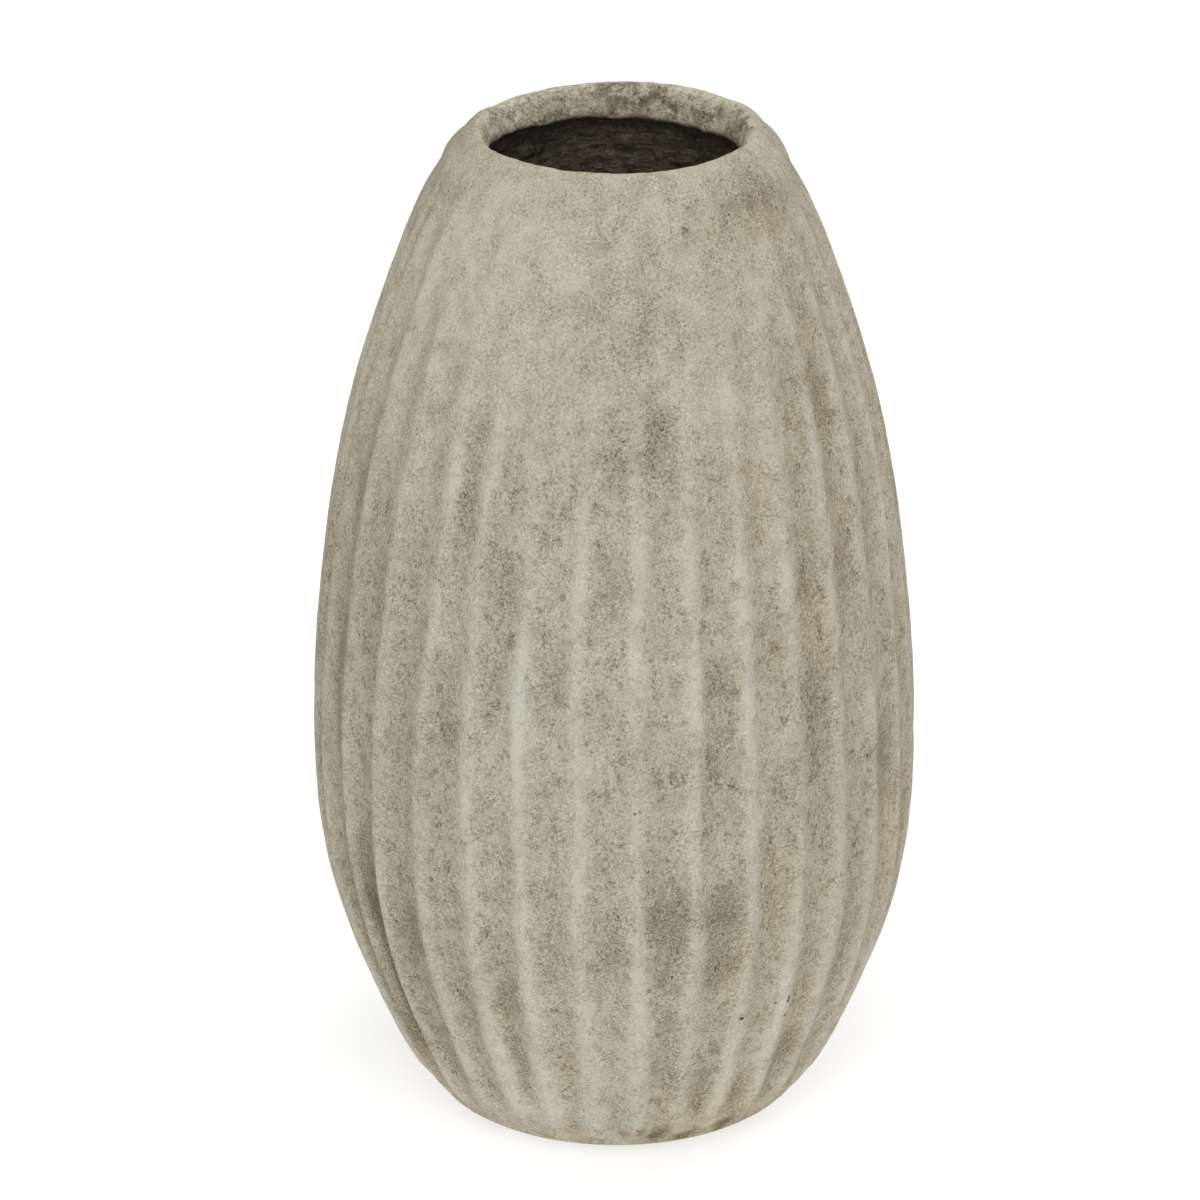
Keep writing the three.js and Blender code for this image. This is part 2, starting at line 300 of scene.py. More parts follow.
def bake_rows(path, plain):
    """Each row's place up the bake map, for a path that closes: full share where plain is false, a fifth where nothing shows."""
    d = np.hypot(*np.diff(np.concatenate([path, path[:1]]), axis=0).T)
    d = np.maximum(d, 0.02) * np.where(plain, 0.2, 1.0)
    return np.concatenate([[0], np.cumsum(d)]) / d.sum()


def normals_of(path):
    """Outward normals in the (r, z) plane of a path that runs up the outside."""
    d = np.gradient(path, axis=0)
    n = np.stack([d[:, 1], -d[:, 0]], 1)
    return n / np.maximum(np.hypot(n[:, 0], n[:, 1])[:, None], 1e-9)


# marks on the outside: azimuth, share of height, half-widths (degrees, share), strength
# Low on the far left and at the left edge these dark patches are partly stain and partly painted shade.
STAINS_AND_SHADE = [
    (-65.5, .495, 3.4, .050, 1.0), (-56.2, .240, 6.2, .078, 2.4), (-57.0, .105, 7.0, .064, 2.4), (-44.5, .235, 3.6, .048, 1.15),
    (-23.0, .195, 2.8, .045, 1.3), (-22.5, .120, 2.6, .028, 1.7), (-11.0, .260, 3.2, .030, .75), (-1.5, .270, 3.0, .033, .75),
    (10.0, .302, 4.2, .037, 1.7), (10.5, .235, 3.4, .028, .9), (21.5, .316, 4.6, .030, 1.6), (21.0, .260, 4.4, .038, 1.6),
    (31.5, .292, 3.4, .030, .65), (11.0, .160, 3.0, .026, .7), (22.0, .080, 3.2, .040, .80), (42.0, .195, 2.8, .030, .5),
    (43.0, .104, 3.4, .034, 1.75), (52.0, .270, 2.8, .036, .3), (52.5, .180, 2.8, .036, .5), (62.5, .400, 3.8, .046, 1.6),
    (41.5, .500, 3.0, .045, .80), (41.5, .610, 2.8, .050, .8), (52.0, .620, 3.0, .040, .7), (54.5, .778, 3.8, .038, 1.3),
    (45.0, .790, 3.4, .045, .3), (63.5, .635, 3.4, .080, .25), (52.0, .720, 3.4, .040, .6), (9.5, .775, 3.6, .030, .9), (0.5, .768, 3.2, .034, .65),
    (-32.0, .772, 3.4, .020, .7), (-22.0, .715, 3.6, .026, .65), (-22.5, .638, 3.4, .030, .8), (-33.5, .490, 3.2, .036, .65),
    (-66.0, .680, 3.2, .040, .7), (-2.0, .640, 3.0, .034, .45), (20.5, .537, 3.2, .024, .8), (20.0, .480, 3.0, .032, .45),
    (31.0, .575, 3.4, .040, .3), (33.0, .850, 2.2, .016, .7), (-65.0, .420, 3.0, .036, .6), (-45.0, .105, 3.4, .040, .8),
    (-11.0, .556, 2.8, .026, .45), (3.0, .850, 14.0, .100, .30), (-11.0, .125, 3.0, .020, .75), (2.0, .030, 6.0, .014, .4),
    (13.0, .026, 4.0, .016, .5), (32.0, .060, 3.6, .016, .9), (13.0, .100, 3.2, .026, .35), (36.0, .955, 4.0, .022, .3),
    (55.0, .955, 14.0, .036, 1.25), (40.0, .958, 5.0, .024, .35), (54.0, .865, 3.4, .022, .25), (-64.5, .090, 3.6, .050, 1.6), (-65.5, .215, 3.4, .100, 1.5),
    (-33.0, .715, 3.4, .034, 1.1), (-57.0, .700, 4.0, .040, .6), (-74.0, .725, 6.0, .040, .8), (-13.0, .530, 3.5, .060, .35), (-23.0, .550, 3.0, .050, .4),
    (2.0, .020, 1.8, .008, 1.7), (6.5, .023, 1.5, .009, 1.9), (11.0, .013, 3.6, .008, 1.8), (21.0, .014, 4.4, .010, 1.8), (33.0, .012, 4.2, .011, 2.0),
    (-5.0, .012, 1.6, .006, 1.1), (20.0, .004, 26.0, .013, .6), (15.0, .032, 1.3, .007, 1.2), (33.0, .040, 5.0, .016, .5), (29.0, .330, 4.0, .030, .6), (-78.0, .420, 5.0, .160, .65), (-33.0, .165, 3.2, .060, .6), (75.0, .320, 5.0, .045, .6), (-75.5, .450, 2.4, .050, .7),
]
BROWNS = [
    (42.0, .570, 4.5, .055, .9), (30.5, .700, 4.0, .055, .8), (31.0, .560, 4.0, .035, .5), (20.5, .540, 3.2, .026, .5),
    (55.0, .945, 14.0, .034, .6), (32.0, .940, 4.0, .030, .5), (54.0, .780, 5.0, .060, .45), (43.0, .770, 4.0, .060, .3),
    (62.5, .700, 4.5, .060, .4), (74.0, .715, 4.0, .030, .9), (74.0, .530, 4.5, .060, .6), (74.0, .370, 6.0, .080, .8),
    (22.0, .220, 4.2, .040, .7), (31.0, .320, 3.6, .060, .5), (42.5, .135, 4.0, .060, 1.0), (54.0, .090, 5.0, .030, .7),
    (23.0, .028, 18.0, .046, 1.6), (31.0, .070, 4.0, .030, .6), (52.0, .180, 3.6, .050, .6), (66.0, .280, 6.0, .090, .6),
    (-55.0, .240, 5.0, .080, .08), (-59.0, .085, 9.0, .055, 1.3), (-65.0, .500, 4.0, .050, .5), (-22.5, .150, 3.6, .050, .5),
    (-11.0, .115, 3.4, .022, .7), (-10.0, .024, 8.0, .016, .7), (10.0, .075, 4.0, .030, .6), (-66.0, .690, 4.0, .040, .4),
    (10.0, .780, 5.0, .026, .35), (52.0, .640, 4.0, .060, .3), (-22.5, .715, 4.0, .030, .4),
]
# At the right edge, from about 58 degrees out, these pale patches are painted light.
PALES_AND_LIGHT = [
    (39.5, .890, 3.2, .050, .9), (46.5, .918, 4.0, .018, .8), (34.0, .655, 4.0, .045, 1.0), (28.5, .512, 4.6, .020, .8),
    (25.5, .390, 2.4, .034, .8), (35.0, .265, 3.4, .018, .7), (36.8, .185, 2.2, .050, 1.0), (4.5, .585, 2.2, .050, 1.0),
    (-18.0, .510, 2.6, .050, 1.1), (-18.5, .670, 2.2, .030, .8), (-7.0, .480, 2.2, .060, .6), (-25.5, .778, 2.6, .016, .9),
    (-45.0, .945, 6.0, .030, .65), (-55.0, .895, 4.4, .040, .8), (5.5, .222, 3.2, .026, .6), (-16.5, .080, 4.0, .030, .7),
    (-7.0, .058, 4.0, .024, .7), (-23.0, .042, 3.4, .020, .7), (34.5, .100, 4.0, .034, .9), (-34.0, .595, 3.6, .026, .6),
    (30.0, .480, 5.0, .090, .8), (14.0, .680, 2.6, .020, .5), (-28.0, .430, 2.0, .080, .8), (3.5, .400, 2.0, .050, .6),
    (-35.0, .880, 9.0, .060, .35), (-66.0, .860, 7.0, .080, .8), (-51.0, .840, 9.0, .090, .85), (-50.0, .930, 9.0, .045, .6),
    (72.0, .620, 5.0, .060, .8), (58.0, .110, 20.0, .080, .45), (77.0, .630, 4.0, .050, 1.2), (-48.0, .880, 9.0, .040, .6), (66.0, .155, 5.0, .045, .8), (17.0, .830, 3.0, .020, .5), (24.0, .600, 4.0, .050, .5), (14.0, .520, 3.4, .070, .6), (-44.0, .400, 4.0, .040, .5),
    (-68.0, .645, 5.0, .060, .9), (28.0, .615, 4.5, .050, .8), (76.0, .790, 5.0, .060, 1.0), (15.5, .420, 1.8, .050, .5),
    (4.5, .170, 2.6, .050, .5), (-7.0, .330, 2.0, .050, .5), (61.0, .480, 4.8, .050, .8), (28.0, .830, 2.4, .040, .5),
]


def blobs(spots, az, h, base, seed):
    w = (az + 180) % 360 - 180
    wob_a = 1.5 * noise(base, 11.0, seed) + 1.3 * noise(base, 4.5, seed + 1)
    wob_h = 0.016 * noise(base, 14.0, seed + 2) + 0.010 * noise(base, 5.0, seed + 3)
    out = np.zeros(np.broadcast(az, h).shape)
    for a, y, da, dy, s in spots:
        frayed = min(1.0, da / 3.2)
        d = ((w + frayed * wob_a - a) / da) ** 2 + ((h + frayed * wob_h - y) / dy) ** 2
        out += s * np.exp(-0.9 * d ** 1.5)
    # the back has stains of the same kind
    p = base * np.array([1, 1, 0.55])
    rest = np.clip(noise(p, 30.0, seed + 7, 2) * 1.6 - 0.25, 0, 1)
    return out + rest * smooth(78, 100, np.abs(w))


def place(path, k, t, drift=True):
    """Base points of a path turned round the axis, with their azimuths, flute pitches and shares of height: arrays rows
    x cols.
    """
    z = path[:, 1][:, None]
    h = (z - CLAY0) / CLAY_H
    az, pitch = azimuths(k[None, :], t[None, :], h)
    a = np.radians(az)
    r = path[:, 0][:, None]
    base = np.stack([r * np.sin(a), -r * np.cos(a), z + 0 * a], -1)
    return base, az, pitch, h + 0 * az


k, t = columns()
COLS = len(k)

outline = [(r * CLAY_H, CLAY0 + s * CLAY_H) for s, r in OUTLINE]
whole = along(FOOT + outline + LIP_OUT + LIP_IN, 0.25)
crest_i = int(np.argmax(whole[:, 1]))


def cut(path, z0, z1, step, lower=True):
    """The stretch of a rising path between two levels, re-spaced."""
    z = path[:, 1]
    s = np.concatenate([[0], np.cumsum(np.hypot(*np.diff(path, axis=0).T))])
    s0, s1 = np.interp(z0, z, s), np.interp(z1, z, s)
    want = np.linspace(s0, s1, max(2, int(round((s1 - s0) / step)) + 1))
    return np.stack([np.interp(want, s, path[:, 0]), np.interp(want, s, path[:, 1])], 1)


rising = whole[: crest_i + 1]
wall_out = cut(rising, FOOT[0][1], JOINT_Z, 1.45)
wall_out[0] = FOOT[0]
lip_path = np.concatenate([cut(rising, JOINT_Z, whole[crest_i, 1], 0.9)[:-1], whole[crest_i:][::4]])
lip_path[-1] = whole[-1]
lip_start = wall_out[-1].copy()
lip_path[0] = lip_start
skin_n = normals_of(np.concatenate([wall_out, lip_path[1:]]))


# lumps of the lip: azimuth, half-width (degrees), lift, reach (mm)
LIP_BUMPS = [(103, 13, 0.65, 0.05), (119, 13, 0.45, 0.85), (129, 6, -0.30, 0.0), (158, 24, 0.70, 0.0), (-98, 14, 0.10, 0.10),
             (-114, 8, 0.30, 0.15), (-126, 9, -0.65, 0.0), (-147, 7, -0.35, 0.0)]


def lip_lumps(az, z):
    """The lip's hand-rolled unevenness: lift of its crest and reach of its edge, mm."""
    w = (az + 180) % 360 - 180
    a = np.radians(w)
    p = np.stack([np.cos(a) * 40, np.sin(a) * 40, 0 * a], -1)
    up = 0.03 + 0.10 * noise(p, 26.0, 81) + 0.15 * noise(p, 9.0, 82) + 0.10 * noise(p, 3.6, 85) + 0.09 * noise(p, 1.9, 87)
    out = 0.12 * noise(p, 20.0, 83) + 0.14 * noise(p, 8.0, 84) + 0.05 * noise(p, 4.0, 86)
    for at, wide, lift, reach in LIP_BUMPS:
        g = np.exp(-(((w - at + 180) % 360 - 180) / wide) ** 2)
        up = up + lift * g
        out = out + reach * g
    return up * smooth(284, 296, z), out * smooth(287.5, 297, z)


def finish_outer(base, az, pitch, h, n, weight):
    """Displaced outside points and the masks that the finish uses."""
    off, crest, pres = outer_relief(base, h, k[None, :], t[None, :], az, pitch)
    a = np.radians(az)
    off = off * weight
    nr, nz = n[:, 0][:, None], n[:, 1][:, None]
    up, out = lip_lumps(az, base[..., 2])
    x = base[..., 0] + np.sin(a) * (nr * off + out * weight)
    y = base[..., 1] - np.cos(a) * (nr * off + out * weight)
    z = base[..., 2] + nz * off + up * weight
    x = x + DRIFT(base[..., 2])
    return np.stack([x, y, z], -1), crest, pres


def masks(az, h, base, crest, pres, coat_painted_lit, dirty=0.0, light=0.0, coarse=0.0):
    foot = 1 - smooth(0.10, 0.42, h)
    turn = (az + 180) % 360 - 180
    rubbed = np.clip(crest, 0, 1)
    clean = 1 - 0.8 * smooth(0.58, 0.76, h) * smooth(-28, -44, turn) * (1 - smooth(90, 110, np.abs(turn)))
    # on the left, painted light and shade: lighter just past each ridge, darker against the next ridge where the flank
    # turns from the light, and darker over the far left above the foot
    painted_flank_shading = smooth(-31, -44, turn) * (1 - smooth(90, 110, np.abs(turn))) * pres * clean
    painted_flank_shading = painted_flank_shading * (0.28 * smooth(0.38, 0.80, t[None, :]) - 0.14 * (1 - smooth(0.05, 0.45, t[None, :])))
    painted_flank_shading = painted_flank_shading + 0.32 * smooth(-50, -64, turn) * (1 - smooth(88, 104, np.abs(turn))) * clean * smooth(0.04, 0.16, h)
    # a warm tinge in the flutes of both sides, hardly any in front; patches of it behind
    tinge = 0.42 * smooth(22, 34, turn) + 0.16 * smooth(-40, -54, turn) + 0.50 * smooth(-70, -77, turn) + 0.20 * smooth(66, 74, turn)
    behind = smooth(84, 110, np.abs(turn))
    tinge = tinge * (1 - behind) + behind * np.clip(0.34 + 0.5 * noise(base * np.array([1, 1, 0.5]), 45.0, 271, 2), 0, 1)
    tinge = tinge * (0.35 + 0.65 * pres) * (1 - 0.7 * rubbed)
    # a little darker and browner towards the foot, all round
    rim = 1 - smooth(0.0, 0.045, h)
    tinge = tinge + 0.45 * rim
    return {
        "crest": (crest * (1 + 0.40 * foot)).ravel(),
        "flute": (pres * (1 + 0.08 * foot + 0.28 * (1 - smooth(0.05, 0.15, h))) * clean).ravel(),
        "coat_painted_lit": (coat_painted_lit + 0 * az).ravel(),
        "stain_and_shading": (np.clip(blobs(STAINS_AND_SHADE, az, h, base, 200) + dirty + painted_flank_shading + 0.34 * rim, -1.5, 2.4) * (1 - 0.7 * rubbed)).ravel(),
        "brown": np.clip(blobs(BROWNS, az, h, base, 230) * (1 - 0.55 * rubbed) + tinge + 0.25 * coarse, 0, 1.3).ravel(),
        "pale_and_light": np.clip(blobs(PALES_AND_LIGHT, az, h, base, 260) + light, 0, 1.2).ravel(),
        "coarse": (coarse + 0 * az).ravel(),
    }


# ---- the fluted wall
INSIDE = [(43.45, JOINT_Z), (53.60, 264.3), (63.80, 234.5), (72.98, 195.8), (78.42, 154.1), (80.39, 112.5),
          (77.90, 76.7), (70.5, 49.9), (62.62, 30.6), (52.15, 11.1)]
path = np.concatenate([
    straight((46.3, 2.3), FOOT[0], 2),
    wall_out,
    straight(wall_out[-1], INSIDE[0], 2),
    along(INSIDE, 12.0),
    straight(INSIDE[-1], (46.3, 11.1), 1),
    [(46.3, 11.1)],
    straight((46.3, 11.1), (46.3, 2.3), 2),
    [(46.3, 2.3)],
])
first = 2
last = first + len(wall_out)
weight = np.zeros((len(path), 1))
weight[first:last, 0] = smooth(2.35, 6.0, wall_out[:, 1])
base, az, pitch, h = place(path, k, t)
n = np.zeros((len(path), 2))
n[first:last] = skin_n[: len(wall_out)]
verts, crest, pres = finish_outer(base, az, pitch, h, n, weight)
on = weight > 0
verts = np.where(on[..., None] | (np.arange(len(path))[:, None, None] == first), verts, base)      # the rebate and the inside stay true to the slab and the coat
# pinholes in the outside: azimuth, share of height, radius in mm
PINHOLES = [(26.7, 0.170, 0.62), (27.2, 0.1735, 0.48), (38.2, 0.160, 0.62), (38.0, 0.176, 0.75), (38.3, 0.179, 0.60), (11.0, 0.235, 0.34), (5.5, 0.030, 0.50), (4.0, 0.420, 0.34)]
pins = []
for pa, ph, pr in PINHOLES:
    i, j = np.unravel_index(np.argmin(((az[first:last] - pa) * 1.4) ** 2 + ((h[first:last] - ph) * 300) ** 2), az[first:last].shape)
    pins.append((tuple(verts[first + i, j] * MM), pr * MM))
row = np.arange(len(path))
inside_rows = (row >= last).astype(float)[:, None]
hidden = (row < first) | (row >= last - 1)
wall = ring_mesh("wall_skin", verts.reshape(-1, 3), len(path), COLS, masks(az, h, base, crest * on, pres, inside_rows),
                 row_v=bake_rows(path, hidden))
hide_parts("fluted_wall")
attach(wall, "root")

# ---- the lip
path = np.concatenate([lip_path, straight(lip_path[-1], lip_path[0], 4)])
weight = np.zeros((len(path), 1))
s = np.arange(len(lip_path))
weight[: len(lip_path), 0] = 1 - smooth(len(lip_path) - 6, len(lip_path) - 1, s)
base, az, pitch, h = place(path, k, t)
n = np.zeros((len(path), 2))
n[: len(lip_path)] = skin_n[len(wall_out) - 1:]
verts, crest, pres = finish_outer(base, az, pitch, h, n, weight)
row = np.arange(len(path))
keep = row < len(lip_path)
top_i = int(np.argmax(lip_path[:, 1]))
inner = (row > top_i)[:, None] * np.ones_like(az)
# the lip's inner edge is ragged, and the coat runs up under it
ragged = inner * smooth(288.0, 290.5, base[..., 2]) * (1 - smooth(293.0, 296.0, base[..., 2]))
a = np.radians(az)
rag = ragged * (0.60 * noise(base * np.array([1, 1, 0.6]), 6.5, 91, 2) + 0.34 * noise(base, 2.8, 92))
verts[..., 0] += np.sin(a) * rag
verts[..., 1] -= np.cos(a) * rag
verts[..., 2] += ragged * (0.80 * noise(base * np.array([1, 1, 0.3]), 7.5, 93, 2) + 0.50 * noise(base * np.array([1, 1, 0.3]), 2.6, 99))
turn = (az + 180) % 360 - 180
hang = np.interp(turn, [-180, -160, -141, -120, -95, -50, 0, 60, 97, 118, 134, 160, 180],
                 [-0.5, 0.1, 0.4, 0.8, 0.8, 0.1, -0.3, -0.2, -0.1, -0.6, -1.2, -0.9, -0.5])
verts[..., 2] += keep[:, None] * inner * hang * (1 - smooth(292.0, 298.5, base[..., 2])) * smooth(286.6, 288.5, base[..., 2])
edge = 290.6 + 0.9 * noise(base * np.array([1, 1, 0.2]), 6.0, 94, 2)
coat_painted_lit = inner * (1 - smooth(-0.5, 0.5, base[..., 2] - edge))
coat_painted_lit = np.where(keep[:, None], coat_painted_lit, 1.0)
blotch = noise(base * np.array([1, 1, 1.5]), 7.0, 95, 2) + 0.8 * noise(base * np.array([1, 1, 1.2]), 3.0, 96, 2)
dirty = inner * np.clip(-0.20 + 3.4 * blotch, -1.5, 1.9)
white = noise(base * np.array([1, 1, 1.3]), 5.5, 97, 2) + 0.8 * noise(base, 2.6, 98)
light = inner * np.clip(1.5 * white - 0.25, 0, 1.0)
lip = ring_mesh("lip_skin", verts.reshape(-1, 3), len(path), COLS,
                masks(az, h, base, crest * keep[:, None], pres, coat_painted_lit, dirty, light, inner), row_v=bake_rows(path, ~keep))
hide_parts("lip_coil")
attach(lip, "root")


# ---- the dark coat inside
def turned(path, cols):
    a = np.radians(np.arange(cols) * 360.0 / cols)
    r, z = path[:, 0][:, None], path[:, 1][:, None]
    return np.stack([r * np.sin(a), -r * np.cos(a), z + 0 * a], -1), np.degrees(a)[None, :]


COAT_FACE = [(38.9, 12.9), (44.2, 15.2), (48.7, 17.6), (52.8, 21.0), (56.6, 25.3), (61.2, 31.1), (69.0, 50.3), (76.4, 76.9),
             (78.85, 112.5), (76.9, 154.0), (71.5, 195.6), (62.3, 234.2), (52.1, 263.8), (42.0, 286.65)]
COAT_BACK = [(43.00, 286.20), (53.25, 264.3), (63.45, 234.5), (72.65, 195.8), (78.1, 154.1), (80.05, 112.5), (77.55, 76.7),
             (70.15, 49.9), (62.3, 30.6), (57.5, 24.6), (53.6, 20.2), (49.3, 16.7), (44.6, 14.2), (39.4, 12.6)]
face = along(COAT_FACE, 0.95)               # finer near the mouth, where it shows
face = np.concatenate([face[face[:, 1] < 248][::3], face[face[:, 1] >= 248]])
back = along(COAT_BACK, 9.0)
floor_face = np.stack([np.linspace(2.0, 38.0, 16), np.full(16, 12.35)], 1)
floor_back = np.stack([np.linspace(38.9, 2.0, 8), np.full(8, 11.12)], 1)
path = np.concatenate([floor_face, face, back, floor_back])[::-1]
CC = 384
base, az = turned(path, CC)
rows = len(path)
is_face = np.arange(rows)[::-1] < len(floor_face) + len(face)
wide = base * np.array([1.0, 1.0, 5.0])
ring = 0.16 * noise(wide * np.array([0.25, 0.25, 1.0]), 18.0, 301, 2) + 0.34 * noise(wide, 34.0, 311, 2) + 0.30 * noise(base, 7.0, 321, 2)
pit = np.clip(noise(base, 4.6, 331) - 0.40, 0, 1) * 2.8 + np.clip(noise(base, 2.9, 335) - 0.30, 0, 1) * 1.5
lump = np.clip(noise(base, 5.0, 341) - 0.38, 0, 1) * 2.8 + np.clip(noise(base, 2.7, 345) - 0.26, 0, 1) * 1.7
n = normals_of(path)
off = (ring - pit + lump) * is_face[:, None] * smooth(0, 4, np.abs(285.9 - path[:, 1]))[:, None]
a = np.radians(az)
sgn = -1.0 if n[is_face][-1, 0] > 0 else 1.0
verts = base.copy()
inward = np.stack([-np.sin(a) + 0 * off, np.cos(a) + 0 * off, 0 * off], -1)
upright = smooth(13, 40, base[..., 2])[..., None]
verts = verts + inward * (off * 0.72)[..., None] * upright
verts[..., 2] += off * 0.5 * (1 - upright[..., 0])
flat = verts.reshape(-1, 3)
hub_top, hub_low = len(flat), len(flat) + 1
flat = np.concatenate([flat, [[0, 0, 12.35], [0, 0, 11.12]]])
top_row, low_row = rows - 1, 0
caps = [[top_row * CC + c, top_row * CC + (c + 1) % CC, hub_top] for c in range(CC)]
caps += [[low_row * CC + (c + 1) % CC, low_row * CC + c, hub_low] for c in range(CC)]
# thinner, so paler, on the two sides; thicker and darker on the far face
aside = np.abs((az + 360) % 360 - 180)
thin = 0.32 + 0.45 * smooth(20, 62, aside) + 0.20 * np.exp(-((az - 160) / 12.0) ** 2) + 0.06 * np.exp(-((az - 200) / 12.0) ** 2) + 0.16 * noise(base * np.array([1, 1, 1.6]), 14.0, 351, 2) + 0.20 * noise(base * np.array([1, 1, 2.2]), 4.5, 361, 2)
thin = np.concatenate([np.clip(thin, 0, 1).ravel(), [0.4, 0.4]])
coat = ring_mesh("seal_coat_skin", flat, rows, CC, {"thin": thin}, around=False, caps=caps)
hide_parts("inner_seal_coat")
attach(coat, "root")


# ---- the floor slab
def disc_piece(name, profile, cols, relief=None):
    """A closed round piece from a profile that starts and ends next to the axis."""
    p = np.array(profile, float)
    base, az = turned(p, cols)
    v = base.copy()
    if relief is not None:
        v = v + relief(base)
    flat = v.reshape(-1, 3)
    lo, hi = len(flat), len(flat) + 1
    zlo, zhi = v[0, :, 2].mean(), v[-1, :, 2].mean()
    flat = np.concatenate([flat, [[v[0, :, 0].mean(), v[0, :, 1].mean(), zlo], [v[-1, :, 0].mean(), v[-1, :, 1].mean(), zhi]]])
    m = len(p) - 1
    caps = [[(c + 1) % cols, c, lo] for c in range(cols)]
    caps += [[m * cols + c, m * cols + (c + 1) % cols, hi] for c in range(cols)]
    return ring_mesh(name, flat, len(p), cols, around=False, caps=caps)


def slab_relief(b):
    g = (b[..., 2] < 6).astype(float)
    up = 0.22 * noise(b, 22.0, 401, 2) + 0.10 * noise(b, 5.0, 411, 2) + 0.10
    return np.stack([0 * up, 0 * up, np.clip(up, 0.0, 1.0) * g], -1)


prof = [(r, 2.34) for r in np.linspace(1.5, 44.6, 30)] + [(45.4, 2.5), (45.9, 3.0), (46.0, 3.8), (46.0, 7.0), (46.0, 10.2), (45.6, 10.7), (45.0, 10.8)]
prof += [(r, 10.8) for r in np.linspace(42.0, 1.5, 10)]
slab = disc_piece("floor_slab", prof, 160, slab_relief)
slab.location.x = 0
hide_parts("base_slab")
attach(slab, "root")

# ---- the corner roll: out of sight between wall, floor and coat
prof = [(51.9, 11.45), (55.5, 18.0), (58.9, 24.3), (58.2, 24.6), (54.2, 19.95), (49.85, 16.5), (45.1, 13.95), (40.6, 12.5), (40.1, 12.1), (40.1, 11.5)]
base, az = turned(np.array(prof), 120)
a = np.radians(az)
g = 0.10 * noise(base, 9.0, 421, 2)
verts = base + np.stack([np.sin(a) * (g - 0.12), -np.cos(a) * (g - 0.12), 0 * g], -1)
roll = ring_mesh("corner_roll", verts.reshape(-1, 3), len(prof), 120)
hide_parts("seam_coil")
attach(roll, "root")

# ---- felt pads
pads = []
for i in range(4):
    lo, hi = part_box(f"felt_pad_{i + 1}")
    cx, cy = (lo.x + hi.x) / 2 / MM, (lo.y + hi.y) / 2 / MM
    prof = [(r, 0.0) for r in np.linspace(0.6, 7.3, 12)] + [(7.62, 0.05), (7.85, 0.22), (7.96, 0.5), (8.0, 0.9), (7.98, 1.4), (7.92, 1.75), (7.75, 1.95)]
    prof += [(r, 2.0) for r in np.linspace(7.3, 0.6, 6)]

    def pad_relief(b, i=i, cx=cx, cy=cy):
        p = b + np.array([cx, cy, 17.0 * i])
        r = np.hypot(b[..., 0], b[..., 1])
        side = smooth(7.0, 8.0, r)
        fuzz = -0.16 * np.abs(noise(p, 1.1, 501 + i, 2)) * side
        low = 0.12 * np.clip(noise(p, 1.6, 511 + i, 2), 0, 1) * (b[..., 2] < 0.3)
        d = np.stack([b[..., 0] / np.maximum(r, 1e-6) * fuzz, b[..., 1] / np.maximum(r, 1e-6) * fuzz, low], -1)
        return d
    pad = disc_piece(f"felt_disc_{i + 1}", prof, 96, pad_relief)
    pad.data.transform(Matrix.Translation((cx * MM, cy * MM, 0)))
    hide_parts(f"felt_pad_{i + 1}")
    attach(pad, "root")
    pads.append(pad)


